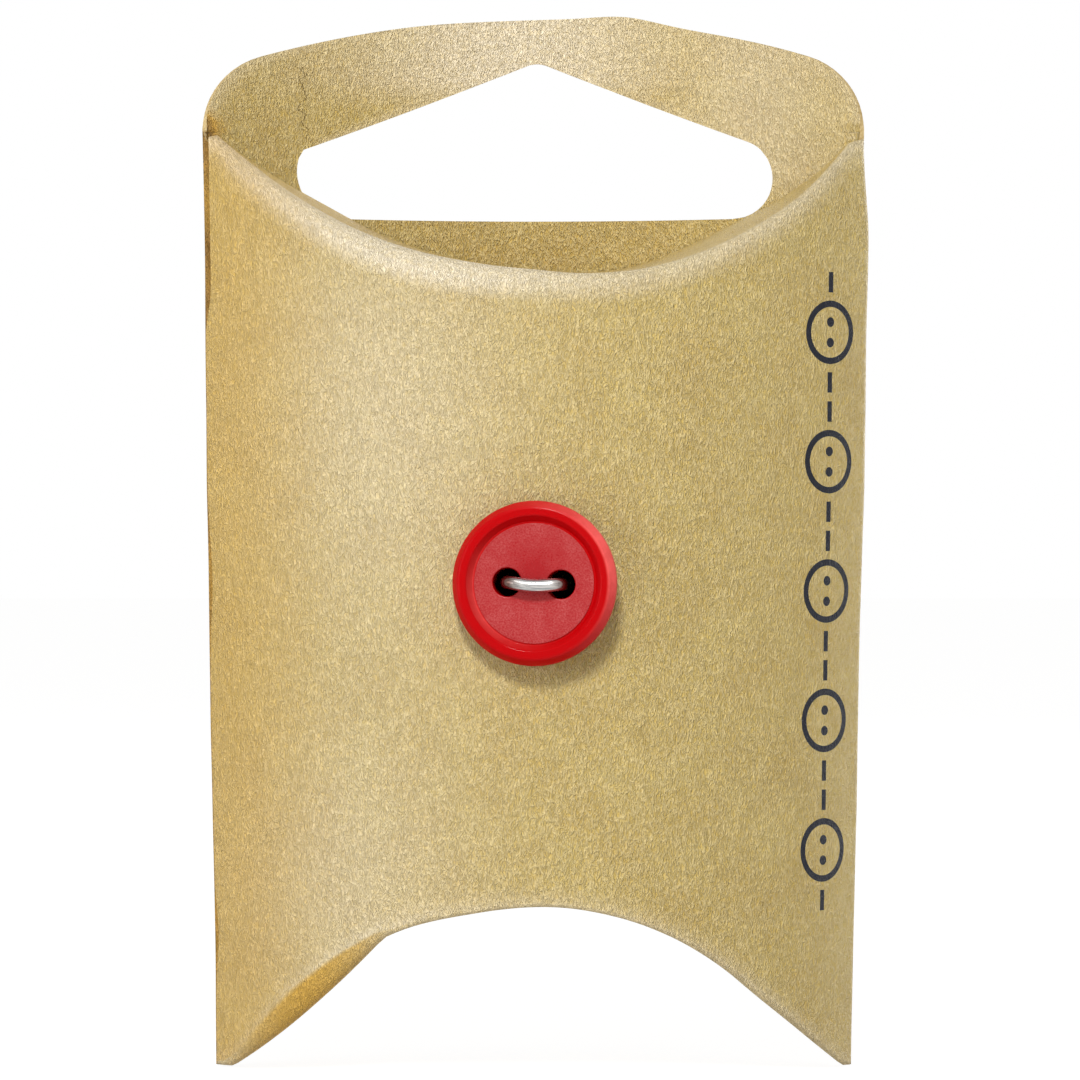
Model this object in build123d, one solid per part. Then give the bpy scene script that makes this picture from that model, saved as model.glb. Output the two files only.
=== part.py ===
from build123d import *
from math import atan, cos, pi, sin, sqrt, tan
import os

os.makedirs("parts", exist_ok=True)

# Kraft card pack, in millimetres. Both panels bow out because the creases at their ends are curved.
flat_panel_width = 69.2       # one panel from side fold to side fold, laid flat
pack_height = 86.5            # corner to corner along a side fold
crease_sag_top = 12.85        # how far the top crease dips below its corners
crease_sag_bottom = 15.45     # how far the bottom creases rise above their corners
crease_power_top = 2.35       # curve of the top crease: 2 is a parabola, more is flatter in the middle
crease_run = 12.05            # straight end of each bottom crease, which is an arc between them
crease_tip_flat = 1.3         # blunt end of a crease, at each corner
flap_rise_share = 0.07        # how far the top flap rises to the back, of its own depth
card_thickness = 0.45
crease_roll = 1.4             # outer radius of a rolled crease, in the middle of the pack
crease_roll_share = 0.6       # most of a narrow flap's inner width that its roll may take
fold_space = 0.2              # half the room between the panels' inner faces, where a side fold begins
fold_nose = 0.4               # how far the rounded fold stands out past there
flap_gap = 0.2                # between a flap's free edge and the panel it is tucked against
layer_gap = 0.15              # between the two bottom flaps
flap_setback = 0.6            # outer bottom flap, short of the back panel's face
station_count = 17            # sections across the pack

# Hang tab, which is the back panel carried on above the corners
tab_rise = 12.35              # above the corners, in the middle
tab_side = 0.5                # straight side of the tab, above the corners
tab_crown_radius = 82.0
tab_shoulder_radius = 7.6
hole_width = 45.3
hole_height = 15.05
hole_end_radius = 3.75
hole_apex_radius = 2.5
hole_web = 4.3                # card left above the hole
trim_margin = 4.0             # extra length that a cutter or an untrimmed panel has

# Glued side seam, along the left fold
lap_near_share = 0.965        # lap's edges, as shares of the half width
lap_far_share = 0.70
lap_end_margin = 4.0
lap_station_count = 5
glue_bite = 0.15              # lap and panel bonded into one over this depth
seam_setback = 0.6            # front panel's raw edge, short of the fold
seam_step = 0.4

# Red moulded button
button_diameter = 15.0
button_thickness = 2.9
button_edge_low = 1.1         # side wall, from and to these heights above the back
button_edge_high = 2.0
button_back_diameter = 8.4    # flat part of the back
rim_shoulder_width = 0.6      # from the side wall up to the rim's crest
rim_crest_width = 0.75
rim_slope_width = 0.5         # from the crest down to the floor
floor_height = 2.25
floor_groove_width = 0.2
floor_groove_depth = 0.12
back_radius = 6.0
edge_low_radius = 0.5
edge_high_radius = 0.9
rim_outer_radius = 0.5
rim_inner_radius = 0.25
thread_hole_diameter = 2.5
thread_hole_spacing_share = 0.328  # of the button's diameter
thread_hole_edge = 0.2
button_height_on_pack = 1.75  # above the middle of the pack
button_touch_offset = 5.0     # from its middle, left to where its back comes nearest the card, so it leans
button_turn = 2.4             # degrees, clockwise
button_gap = 0.08             # between its back's plane and the card

# Wire staple
wire_diameter = 1.2
crown_clearance = 0.05        # under the crown, above the button's floor
crown_bow = 0.25              # crown's middle, further out than its shoulders
crown_droop = 0.3             # crown's middle, lower than its shoulders
crown_shoulder_radius = 0.9
crown_middle_radius = 6.0
clinch_gap = 0.1              # between the bent legs and the card's inner face
clinch_bend_radius = 0.8
clinch_end_spacing = 1.2      # between the two leg ends
pierce_diameter = 2.5         # punched in the card behind each hole of the button, for the wire

arc_rule = 16 / 3             # arc squared is chord squared plus this times sag squared, in a shallow arc
corner = pack_height / 2
tab_top = corner + tab_rise
hole_apex = tab_top - hole_web
bow_slope = (crease_sag_bottom - crease_sag_top) / pack_height
thread_hole_spacing = thread_hole_spacing_share * button_diameter


def between(bottom, top, z):
    return bottom + (top - bottom) * (z + corner) / pack_height


def chord(sag):
    return sqrt(flat_panel_width**2 - arc_rule * sag**2)


def bulge(z):
    # A right-angled fold along a curved crease lifts the panel by about the crease's own sag.
    return between(crease_sag_bottom, crease_sag_top, z)


def reach(z):
    return between(chord(crease_sag_bottom), chord(crease_sag_top), z) / 2 - fold_nose


def fold_half():
    # Half the pack's thickness where a side fold begins: the card at its steepest, and the room inside.
    slope = bulge(-corner) / reach(-corner)
    return card_thickness * (1 + slope**2) / (1 - slope**2) + fold_space


def panel_radius(z):
    rise = bulge(z) - fold_half()
    return (reach(z)**2 + rise**2) / (2 * rise)


def panel(share, z):
    # Half depth of the pack, and the card's thickness along Y there.
    radius = panel_radius(z)
    lift = sqrt(radius**2 - (share * reach(z))**2)
    return bulge(z) - radius + lift, card_thickness * radius / lift


def tip(share, end):
    # Place across the pack, and where the blunt end of a crease begins.
    width = reach(end * corner)
    return abs(share) * width, width - crease_tip_flat


def leaning(slope):
    # A flap's thickness along Z, where its crease slopes.
    return card_thickness * sqrt(1 + slope**2)


def top_crease(share):
    x, blunt = tip(share, 1)
    if x >= blunt:
        return corner, card_thickness
    slope = crease_power_top * crease_sag_top * (x / blunt)**(crease_power_top - 1) / blunt
    return corner - crease_sag_top * (1 - (x / blunt)**crease_power_top), leaning(slope)


def bottom_crease(share):
    x, blunt = tip(share, -1)
    if x >= blunt:
        return -corner, card_thickness
    radius = (blunt**2 + crease_sag_bottom**2 - crease_run**2) / (2 * crease_sag_bottom)
    turn = 2 * atan(crease_sag_bottom / (blunt + crease_run))
    inside = min(x, radius * sin(turn))
    height = sqrt(radius**2 - inside**2)
    drop = radius - height + (x - inside) * tan(turn)
    return crease_sag_bottom - corner - drop, leaning(inside / height)


def roll(inner_width):
    return min(crease_roll - card_thickness, crease_roll_share * inner_width)


def fan_plane(share):
    # Sections stand along Y and lean with the side folds.
    lean = share * (reach(corner) - reach(-corner)) / pack_height
    return Plane(origin=(share * reach(0), 0, 0), x_dir=(0, 1, 0), z_dir=(1, 0, -lean))


def section(share, points, radii):
    return fan_plane(share) * make_face(FilletPolyline(*points, radius=radii, close=True).edges())


def front_section(share):
    top, lid = top_crease(share)
    bottom, floor = bottom_crease(share)
    depth_top, wall_top = panel(share, top)
    depth_bottom, wall_bottom = panel(share, bottom)
    inner_top = depth_top - wall_top
    inner_bottom = depth_bottom - wall_bottom
    tuck = inner_top - flap_gap
    lip = depth_bottom - flap_setback
    roll_top = roll(tuck + inner_top)
    roll_bottom = roll(lip + inner_bottom)
    rise = flap_rise_share * (tuck + depth_top)
    points = [
        (tuck, top + rise), (-depth_top, top), (-depth_bottom, bottom), (lip, bottom),
        (lip, bottom + floor), (-inner_bottom, bottom + floor), (-inner_top, top - lid), (tuck, top + rise - lid),
    ]
    outer_top = roll_top + card_thickness
    outer_bottom = roll_bottom + card_thickness
    return section(share, points, [0, outer_top, outer_bottom, 0, 0, roll_bottom, roll_top, 0])


def back_section(share):
    high = tab_top + trim_margin
    outer_flap, floor = bottom_crease(share)
    low = outer_flap + floor + layer_gap
    depth_high, wall_high = panel(share, high)
    depth_low, wall_low = panel(share, low)
    inner_low = depth_low - wall_low
    free_edge = flap_gap - inner_low
    roll_low = roll(inner_low - free_edge)
    points = [
        (depth_high, high), (depth_low, low), (free_edge, low),
        (free_edge, low + floor), (inner_low, low + floor), (depth_high - wall_high, high),
    ]
    return section(share, points, [0, roll_low + card_thickness, 0, 0, roll_low, 0])


def lap_section(share):
    top = top_crease(share)[0] - lap_end_margin
    bottom = bottom_crease(share)[0] + lap_end_margin
    depth_top, wall_top = panel(share, top)
    depth_bottom, wall_bottom = panel(share, bottom)
    inner_top = depth_top - wall_top
    inner_bottom = depth_bottom - wall_bottom
    points = [
        (-inner_top - glue_bite, top), (-inner_bottom - glue_bite, bottom),
        (-inner_bottom + wall_bottom, bottom), (-inner_top + wall_top, top),
    ]
    return fan_plane(share) * make_face(Polyline(*points, close=True).edges())


def spread(count, first, last):
    return [first + (last - first) * i / (count - 1) for i in range(count)]


def tab_outline():
    crown = Pos(0, tab_top - tab_crown_radius) * Circle(tab_crown_radius)
    sheet = crown & Rectangle(2 * reach(corner), 2 * tab_top)
    shoulders = sheet.vertices().group_by(Axis.Y)[-1]
    return fillet(shoulders, tab_shoulder_radius)


def delta_hole():
    end_x = hole_width / 2 - hole_end_radius
    end_y = hole_apex - hole_height + hole_end_radius
    ends = [Pos(side * end_x, end_y) * Circle(hole_end_radius) for side in (-1, 1)]
    apex = Pos(0, hole_apex - hole_apex_radius) * Circle(hole_apex_radius)
    return make_hull([edge for circle in (*ends, apex) for edge in circle.edges()])


def along_y(sketch):
    return extrude(Plane.XZ * sketch, 2 * crease_sag_bottom, both=True)


def across_sections(make_section):
    # Sections are closer together towards the side folds.
    return [make_section(sin(turn * pi / 2)) for turn in spread(station_count, -1, 1)]


def back_panel():
    size = (2 * flat_panel_width, tab_rise + trim_margin)
    above = Pos(0, corner + tab_side) * Rectangle(*size, align=(Align.CENTER, Align.MIN))
    return loft(across_sections(back_section)) - along_y(above - tab_outline()) - along_y(delta_hole())


def front_panel():
    return loft(across_sections(front_section))


def glue_lap():
    shares = spread(lap_station_count, -lap_near_share, -lap_far_share)
    return loft([lap_section(share) for share in shares])


def fold_section(side, z):
    start = (side * reach(z), -fold_half())
    nose = (side * (reach(z) + fold_nose), 0)
    end = (side * reach(z), fold_half())
    return Plane.XY.offset(z) * make_face([ThreePointArc(start, nose, end), Line(end, start)])


def side_fold(side):
    return loft([fold_section(side, -corner), fold_section(side, corner)], ruled=True)


def seam_section(z):
    outside = reach(z) + fold_nose
    left = Pos(-outside, -fold_half())
    return Plane.XY.offset(z) * left * Rectangle(2 * seam_setback, 2 * seam_step)


def seam_cut():
    return loft([seam_section(-corner), seam_section(corner)], ruled=True)


def button_lean():
    return atan(button_touch_offset / (panel_radius(button_height_on_pack) + button_gap))


def button_seat():
    # Local X runs along the two holes, local Z out of the front panel. The back is tangent to the panel.
    lean = button_lean()
    radius = panel_radius(button_height_on_pack)
    axis_y = radius - bulge(button_height_on_pack)
    origin = (0, axis_y - (radius + button_gap) / cos(lean), button_height_on_pack)
    seat = Plane(origin, x_dir=(cos(lean), -sin(lean), 0), z_dir=(-sin(lean), -cos(lean), bow_slope))
    return seat.location * Rot(Z=-button_turn)


def hole_places():
    return [Pos(side * thread_hole_spacing / 2, 0) for side in (-1, 1)]


def button():
    crest_outer = button_diameter / 2 - rim_shoulder_width
    crest_inner = crest_outer - rim_crest_width
    groove_outer = crest_inner - rim_slope_width
    groove_inner = groove_outer - floor_groove_width
    groove_floor = floor_height - floor_groove_depth
    profile = [
        (0, 0), (button_back_diameter / 2, 0),
        (button_diameter / 2, button_edge_low), (button_diameter / 2, button_edge_high),
        (crest_outer, button_thickness), (crest_inner, button_thickness),
        (groove_outer, groove_floor), (groove_inner, groove_floor), (groove_inner, floor_height),
        (0, floor_height),
    ]
    radii = [0, back_radius, edge_low_radius, edge_high_radius, rim_outer_radius, rim_inner_radius, 0, 0, 0, 0]
    half = make_face(FilletPolyline(*profile, radius=radii, close=True).edges())
    blank = revolve(Plane.XZ * half, Axis.Z)
    cutter = extrude(Circle(thread_hole_diameter / 2), button_thickness)
    drilled = blank - [place * cutter for place in hole_places()]
    edges = drilled.edges().filter_by(GeomType.CIRCLE)
    mouths = [edge for edge in edges if abs(edge.radius - thread_hole_diameter / 2) < thread_hole_edge / 2]
    return fillet(mouths, thread_hole_edge)


def panel_drop():
    # How far the bowed panel falls away from the button's back plane at the staple's legs.
    radius = panel_radius(button_height_on_pack)
    foot = thread_hole_spacing / 2 + radius * sin(button_lean())
    return radius - sqrt(radius**2 - foot**2)


def staple():
    half = thread_hole_spacing / 2
    crown = floor_height + crown_clearance + wire_diameter / 2
    clinch = -button_gap - panel_drop() - card_thickness - clinch_gap - wire_diameter / 2
    end = clinch_end_spacing / 2
    points = [
        (-end, 0, clinch), (-half, 0, clinch), (-half, 0, crown), (0, -crown_droop, crown + crown_bow),
        (half, 0, crown), (half, 0, clinch), (end, 0, clinch),
    ]
    bends = [clinch_bend_radius, crown_shoulder_radius, crown_middle_radius]
    path = FilletPolyline(*points, radius=[*bends, crown_shoulder_radius, clinch_bend_radius])
    return sweep(Plane(path @ 0, z_dir=path % 0) * Circle(wire_diameter / 2), path.wire())


def pierce_cuts():
    bore = extrude(Circle(pierce_diameter / 2), crease_sag_top / 2, both=True)
    return [place * bore for place in hole_places()]


def carton():
    shell = front_panel() + back_panel() + side_fold(-1) + side_fold(1) + glue_lap() - seam_cut()
    return shell - [button_seat() * cut for cut in pierce_cuts()]


# The hook bears on the top of the delta hole, so that is the origin, in the middle of the card.
tab_depth, tab_wall = panel(0, hole_apex)
hook = Pos(0, tab_wall / 2 - tab_depth, -hole_apex)
pieces = {
    "pillow_carton": carton(),
    "sample_button": button_seat() * button(),
    "staple": button_seat() * staple(),
}
for name, piece in pieces.items():
    export_step(hook * piece, f"parts/{name}.step")
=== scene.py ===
import bmesh
import bpy
import math
from mathutils import Matrix, Vector, noise


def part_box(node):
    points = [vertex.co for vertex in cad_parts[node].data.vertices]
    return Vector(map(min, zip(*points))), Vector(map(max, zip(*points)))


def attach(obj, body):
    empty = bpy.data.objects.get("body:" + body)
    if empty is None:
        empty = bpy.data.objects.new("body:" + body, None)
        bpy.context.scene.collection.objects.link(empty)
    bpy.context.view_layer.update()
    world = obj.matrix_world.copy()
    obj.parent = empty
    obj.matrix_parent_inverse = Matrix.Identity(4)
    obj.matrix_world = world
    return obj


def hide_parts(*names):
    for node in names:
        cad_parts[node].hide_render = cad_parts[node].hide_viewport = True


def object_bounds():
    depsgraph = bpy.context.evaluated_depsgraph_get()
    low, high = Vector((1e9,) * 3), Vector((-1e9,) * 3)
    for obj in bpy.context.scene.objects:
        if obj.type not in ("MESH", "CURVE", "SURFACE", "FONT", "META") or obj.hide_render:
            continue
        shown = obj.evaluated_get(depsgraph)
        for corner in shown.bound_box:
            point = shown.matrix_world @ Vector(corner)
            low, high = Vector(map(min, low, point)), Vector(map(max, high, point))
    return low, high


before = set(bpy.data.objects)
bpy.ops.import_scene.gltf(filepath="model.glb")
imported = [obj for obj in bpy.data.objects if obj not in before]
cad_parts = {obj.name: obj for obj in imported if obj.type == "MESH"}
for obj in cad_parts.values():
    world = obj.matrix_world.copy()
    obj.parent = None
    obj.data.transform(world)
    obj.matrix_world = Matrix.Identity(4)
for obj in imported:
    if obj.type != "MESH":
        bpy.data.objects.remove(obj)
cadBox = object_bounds()
scene = bpy.context.scene
scene.view_settings.view_transform = "Standard"
print("frame loaded", sorted(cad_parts))

mm = 0.001  # the dictionaries below are in millimetres, the meshes in metres


def mix(a, b, share):
    return a + (b - a) * share


def ease(value):
    value = max(0.0, min(1.0, value))
    return value * value * (3 - 2 * value)


def bump(value, centre, spread):
    return math.exp(-((value - centre) / spread) ** 2)


def bumps(value, rows):
    # each row is a height, a centre and a spread
    return sum(height * bump(value, centre, spread) for height, centre, spread in rows)


# The card as it was folded. Heights run from the middle of the pack, depths from the plane of the side folds.
pack = {
    "flatWidth": 69.2, "height": 86.5, "card": 0.45, "foldRadius": 1.0,
    "sagTop": 12.85, "sagBottom": 15.6, "bowTop": 12.85, "bowBottom": 15.45,
    "skew": 0.33, "skewFrom": 9.0, "skewSpan": 14.0,  # the pack leans a little
    "pinch": 0.7, "pinchX": 20.0, "pinchZ": 33.0, "pinchSpan": 10.0,  # drawn in at the top right
    # crest, which hangs lower on the right and is rounder on the left
    "crestPower": 2.35, "crestBlunt": 0.955,
    "crestTilt": 1.0, "tiltSpan": 9.0, "tiltEnd": 31.3, "tiltPower": 10, "tiltLeft": 0.75,
    "crestRoll": 1.35, "crestRollChange": 0.45, "crestRollSpan": 12.0,
    # bottom crease: an arc, then straight lines to the corners
    "archRadius": 28.3, "archTangent": 18.3, "archRoll": 0.45, "softRolls": ((0.7, 22, 6),),
    # the squashed left corner
    "kinkX": -13.9, "kinkZ": -30.6, "kinkFrom": -5.0, "runSlope": 1.122, "runEasing": 0.0157,
    "facetLead": 0.6, "facetLength": 15.6, "facetSwell": 0.9,
    "facetRoll": 3.1, "facetDepth": 0.55, "facetCurve": 1.8,
    # flaps, and the front's raw edge along the left fold
    "flapGap": 0.25, "flapSetback": 0.6, "layerGap": 0.15, "leastFlap": 0.35, "leastCos": 0.3,
    "rollShare": 0.6, "backRoll": 1.2, "stepRise": 1.25, "stepPower": 6,
    "flapSlope": 0.05, "flapLifts": ((0.09, 21, 9), (0.045, -22, 7)),
    "seamSetback": 0.1, "seamTop": (0.5, 25, 4), "seamNicks": ((0.3, 2, 4.5), (0.3, -31, 3)),
    # hang tab
    "tabRise": 12.35, "tabCrown": 82.0, "tabShoulder": 7.6, "crownDents": ((0.55, 8.5, 4), (-0.15, -4, 6)),
    "earRise": 0.9, "earFrom": 0.93, "earEasing": 3.0, "splitDip": 9.5, "splitPower": 4,
    "holeWidth": 45.3, "holeHeight": 15.05, "holeEnd": 3.75, "holeApex": 2.5, "holeWeb": 4.3,
    "holeEndLeft": 4.4, "holeBulge": 0.3,
    # glue lap
    "lapWidth": 9.0, "lapMargin": 4.0, "lapTaper": 1.2, "earTaper": 5.0, "lapGap": 0.1, "lapEasing": 0.5,
    "backApart": 100.0,  # keeps the back's fibres apart from the front's in the flat sheet
}
corner = pack["height"] / 2
tabTop = corner + pack["tabRise"]
holeTop = tabTop - pack["holeWeb"]


def between(bottom, top, z):
    return mix(bottom, top, (z + corner) / pack["height"])


def chord(sag):
    return math.sqrt(pack["flatWidth"] ** 2 - 16 / 3 * sag ** 2)  # a shallow arc's chord


def halfWidth(z):
    return between(chord(pack["bowBottom"]), chord(pack["bowTop"]), z) / 2


def bow(z):
    return between(pack["bowBottom"], pack["bowTop"], z)


def arcs(z):
    # one panel's arc, and the small arc of the side fold that it runs into
    wide, deep, small = halfWidth(z), bow(z), pack["foldRadius"]
    big = (deep ** 2 - small ** 2 + (wide - small) ** 2) / (2 * (deep - small))
    turn = math.asin((wide - small) / (big - small))
    return wide, deep, small, big, turn


def section(z, along):
    # place across the pack, depth and lean of the card at a length measured round from its middle
    wide, deep, small, big, turn = arcs(z)
    lean = abs(along) / big
    if lean <= turn:
        x, depth = big * math.sin(lean), big * math.cos(lean) - big + deep
    else:
        lean = turn + (abs(along) - big * turn) / small
        x, depth = wide - small + small * math.sin(lean), small * math.cos(lean)
    return math.copysign(x, along), depth, lean


def reach(z, setback):
    # length round from the middle to a point that far short of the fold
    wide, deep, small, big, turn = arcs(z)
    x = wide - setback
    if x <= big * math.sin(turn):
        return big * math.asin(x / big)
    return big * turn + small * (math.asin(min(1, (x - wide + small) / small)) - turn)


def crest(x):
    share = min(1, abs(x) / halfWidth(corner) / pack["crestBlunt"])
    fade = 1 - min(1, abs(x) / pack["tiltEnd"]) ** pack["tiltPower"]
    tilt = pack["crestTilt"] * math.tanh(x / pack["tiltSpan"]) * fade * (pack["tiltLeft"] if x < 0 else 1)
    return corner - pack["sagTop"] * (1 - share ** pack["crestPower"]) - tilt


def crestRoll(x):
    return pack["crestRoll"] - pack["crestRollChange"] * math.tanh(x / pack["crestRollSpan"])


def arch(x):
    radius, tangent, kink = pack["archRadius"], pack["archTangent"], pack["kinkX"]
    inside = min(abs(x), tangent)
    drop = radius - math.sqrt(radius ** 2 - inside ** 2)
    slope = tangent / math.sqrt(radius ** 2 - tangent ** 2)
    z = pack["sagBottom"] - corner - drop - slope * (abs(x) - inside)
    if x < 0:
        lifted = pack["kinkZ"] + radius - math.sqrt(radius ** 2 - kink ** 2) - pack["sagBottom"] + corner
        z += lifted * ease((x - pack["kinkFrom"]) / (kink - pack["kinkFrom"]))
    if x < kink:
        run = kink - x
        z = pack["kinkZ"] - pack["runSlope"] * run + pack["runEasing"] * run ** 2
    return max(-corner, z)


def facet(x):
    # share of the flat facet that the squashed corner has in place of a round crease
    place = (pack["kinkX"] + pack["facetLead"] - x) / pack["facetLength"]
    return math.sin(math.pi * place) ** pack["facetSwell"] if 0 < place < 1 else 0.0


def archRoll(x):
    return pack["archRoll"] + pack["facetRoll"] * facet(x) + bumps(x, pack["softRolls"])


def flapSlope(x):
    return pack["flapSlope"] + bumps(x, pack["flapLifts"])


def seamSetback(z):
    # the front panel's raw edge wanders along the left fold
    most, start, span = pack["seamTop"]
    return pack["seamSetback"] + most * ease((z - start) / span) + bumps(z, pack["seamNicks"])


grain = {
    "columns": 88, "lapColumns": 12, "wallRows": 64, "rollRows": 9, "flapRows": 14,
    "crowdFrom": 0.84, "crowdAt": 0.955,
    "rings": 9, "crownSteps": 120, "tabCentre": 0.6, "rayLength": 60.0, "raySteps": 40, "merge": 0.012,
}

wearAndPaintedLight = {
    # rubbed pale on the crest, least on the right, where a painted highlight is added as well, and on the
    # bottom creases
    "crest": 0.9, "crestBand": 2.0, "rightLess": 0.4, "rightFrom": -8.0, "rightSpan": 20.0,
    "flapCrest": 0.7, "flapFade": 6.0, "foot": 0.5, "footWall": 0.3, "footBand": 1.5,
    "backFoot": 0.6, "backWall": 0.5,
    # painted sheen on the front's left: strength, middle and spread across, middle and spread up
    "sheenPatches": ((0.5, -14, 12, 17, 22), (0.45, -17, 11, -27, 15)),
    # painted sheen on the tab: strength, middle and spread across, height it starts at and rise to its full
    # strength
    "tabSheenPatches": ((1.0, -2, 15, 46, 4), (0.5, 21, 9, 36, 5)), "tabEdge": 0.4,
    # painted warm light, golden: the facet and towards the left fold; painted shade: the top flap, the raw
    # edge on the left fold, the left ear of the tab
    "facet": 0.5, "flap": 0.15, "flapRightLess": 0.1, "flapSpan": 20.0,
    "fold": 0.24, "foldFrom": 16.0, "foldSpan": 16.0,
    "seamShare": 0.985, "seamLeast": 0.8, "seamPatch": 5.0, "seamContrast": 1.6,
    "seamFrom": -25.0, "seamSpan": 50.0, "seamPlace": 4.0,
    "earFrom": 29.6, "earSpan": 1.2, "earTop": 3.0, "earFade": 1.5, "earLow": 38.0,
}


def columnPlace(share):
    # columns crowd together towards the folds
    side, bend, at = abs(share), grain["crowdFrom"], grain["crowdAt"]
    place = side / bend * at if side < bend else at + (1 - at) * (side - bend) / (1 - bend)
    return math.copysign(place, share)


def addGrid(bm, columns, rows):
    made = bmesh.ops.create_grid(bm, x_segments=columns, y_segments=rows, size=1)["verts"]
    return [(v, round((v.co.x + 1) / 2 * columns), round((v.co.y + 1) / 2 * rows)) for v in made]


def rollPoint(radius, share, chamfer):
    # how far in and how far down a crease has gone; the facet goes in less
    turn = share * math.pi / 2
    out = mix(1 - math.cos(turn), pack["facetDepth"] * share ** pack["facetCurve"], chamfer)
    down = mix(math.sin(turn), 1 - (1 - share) ** pack["facetCurve"], chamfer)
    return radius * out, radius * down


# painted warm light: golden towards the left fold
def foldWarmLight(along):
    return wearAndPaintedLight["fold"] * ease((-along - wearAndPaintedLight["foldFrom"]) / wearAndPaintedLight["foldSpan"])


def frontPlace(share, row):
    # one point of the strip that runs from the outer bottom flap, up the front, to the top flap
    flaps, rolls, walls = grain["flapRows"], grain["rollRows"], grain["wallRows"]

    def length(z):
        return share * reach(z, seamSetback(z) if share < 0 else 0)

    low = arch(section(-corner, length(-corner))[0])
    xLow, depthLow = section(low, length(low))[:2]
    low = arch(xLow)
    high = crest(section(corner, length(corner))[0])
    xHigh, depthHigh, leanHigh = section(high, length(high))
    high = crest(xHigh)
    chamfer = facet(xLow)
    rollLow = min(archRoll(xLow), pack["rollShare"] * depthLow)
    rollHigh = min(crestRoll(xHigh), pack["rollShare"] * depthHigh)
    # the crest is rubbed pale and carries a painted highlight, less of both on the right
    rubAndSheen = 1 - wearAndPaintedLight["rightLess"] * ease((xHigh - wearAndPaintedLight["rightFrom"]) / wearAndPaintedLight["rightSpan"])
    wearAndSheen, spare = 0.0, math.inf
    if row < flaps:  # outer bottom flap
        v = 1 - row / flaps
        start = -depthLow + rollPoint(rollLow, 1, chamfer)[0]
        end = depthLow - pack["flapSetback"]
        along, spare = length(low), end - start
        place = (xLow, mix(start, end, v), low)
        height = low - start - depthLow - v * spare
        # painted warm light: golden on the squashed facet, which faces down
        paintedLightAndShade = wearAndPaintedLight["facet"] * chamfer
    elif row < flaps + rolls:
        out, down = rollPoint(rollLow, 1 - (row - flaps) / rolls, chamfer)
        along, spare = length(low), depthLow
        place = (xLow, -depthLow + out, low + rollLow - down)
        height = low + rollLow - out - down
        wearAndSheen, paintedLightAndShade = wearAndPaintedLight["foot"] * (1 - chamfer), wearAndPaintedLight["facet"] * chamfer
    elif row <= flaps + rolls + walls:
        z = mix(low + rollLow, high - rollHigh, (row - flaps - rolls) / walls)
        along = length(z)
        x, depth = section(z, along)[:2]
        place, height = (x, -depth, z), z
        # rubbed pale with a painted highlight towards the crest
        wearAndSheen = wearAndPaintedLight["crest"] * rubAndSheen * ease(1 - (high - rollHigh - z) / wearAndPaintedLight["crestBand"])
        wearAndSheen += wearAndPaintedLight["footWall"] * ease(1 - (z - low - rollLow) / wearAndPaintedLight["footBand"])
        # painted sheen on the front's left
        for strength, acrossMiddle, acrossSpread, upMiddle, upSpread in wearAndPaintedLight["sheenPatches"]:
            wearAndSheen += strength * bump(x, acrossMiddle, acrossSpread) * bump(z, upMiddle, upSpread)
        # painted warm light towards the left fold
        paintedLightAndShade = foldWarmLight(along)
    elif row <= flaps + 2 * rolls + walls:
        out, up = rollPoint(rollHigh, (row - flaps - rolls - walls) / rolls, 0)
        along, spare = length(high), depthHigh
        place = (xHigh, -depthHigh + out, high - rollHigh + up)
        height = high - rollHigh + out + up
        wearAndSheen, paintedLightAndShade = rubAndSheen, foldWarmLight(along)
    else:  # top flap
        v = (row - flaps - 2 * rolls - walls) / flaps
        end = depthHigh - pack["card"] / max(pack["leastCos"], math.cos(leanHigh)) - pack["flapGap"]
        along, spare = length(high), end + depthHigh - rollHigh
        place = (xHigh, mix(-depthHigh + rollHigh, end, v), high + flapSlope(xHigh) * spare * v)
        height = high + rollHigh + v * spare
        # the painted highlight and rub of the crest run on over the top flap
        wearAndSheen = wearAndPaintedLight["flapCrest"] * rubAndSheen * ease(1 - wearAndPaintedLight["flapFade"] * v)
        # painted shade on the top flap, less on the right
        paintedLightAndShade = wearAndPaintedLight["flap"] - wearAndPaintedLight["flapRightLess"] * ease(xHigh / wearAndPaintedLight["flapSpan"])
    return Vector(place), Vector((along, height, 0)), wearAndSheen, paintedLightAndShade, spare


def addFront(bm, layers):
    rows = 2 * grain["flapRows"] + 2 * grain["rollRows"] + grain["wallRows"]
    spent = []
    for v, column, row in addGrid(bm, grain["columns"], rows):
        share = columnPlace(2 * column / grain["columns"] - 1)
        v.co, v[layers["flat"]], v[layers["wearAndSheen"]], v[layers["paintedLightAndShade"]], spare = frontPlace(share, row)
        if spare < pack["leastFlap"]:
            spent.append(v)
    bmesh.ops.delete(bm, geom=spent, context="VERTS")  # no flap in the very tips


def backStep(x):
    # the inner bottom flap lies above the outer one
    share = min(1, abs(x) / halfWidth(-corner))
    return (pack["card"] + pack["layerGap"]) * pack["stepRise"] * (1 - share ** pack["stepPower"])


def splitHeight(x):
    # where the back panel's rows end and the tab's rings start
    share = min(1, abs(x) / halfWidth(corner))
    dip = pack["splitDip"] * (1 - share ** pack["splitPower"])
    return corner - dip + pack["earRise"] * ease((share - pack["earFrom"]) / (1 - pack["earFrom"]))


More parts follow.
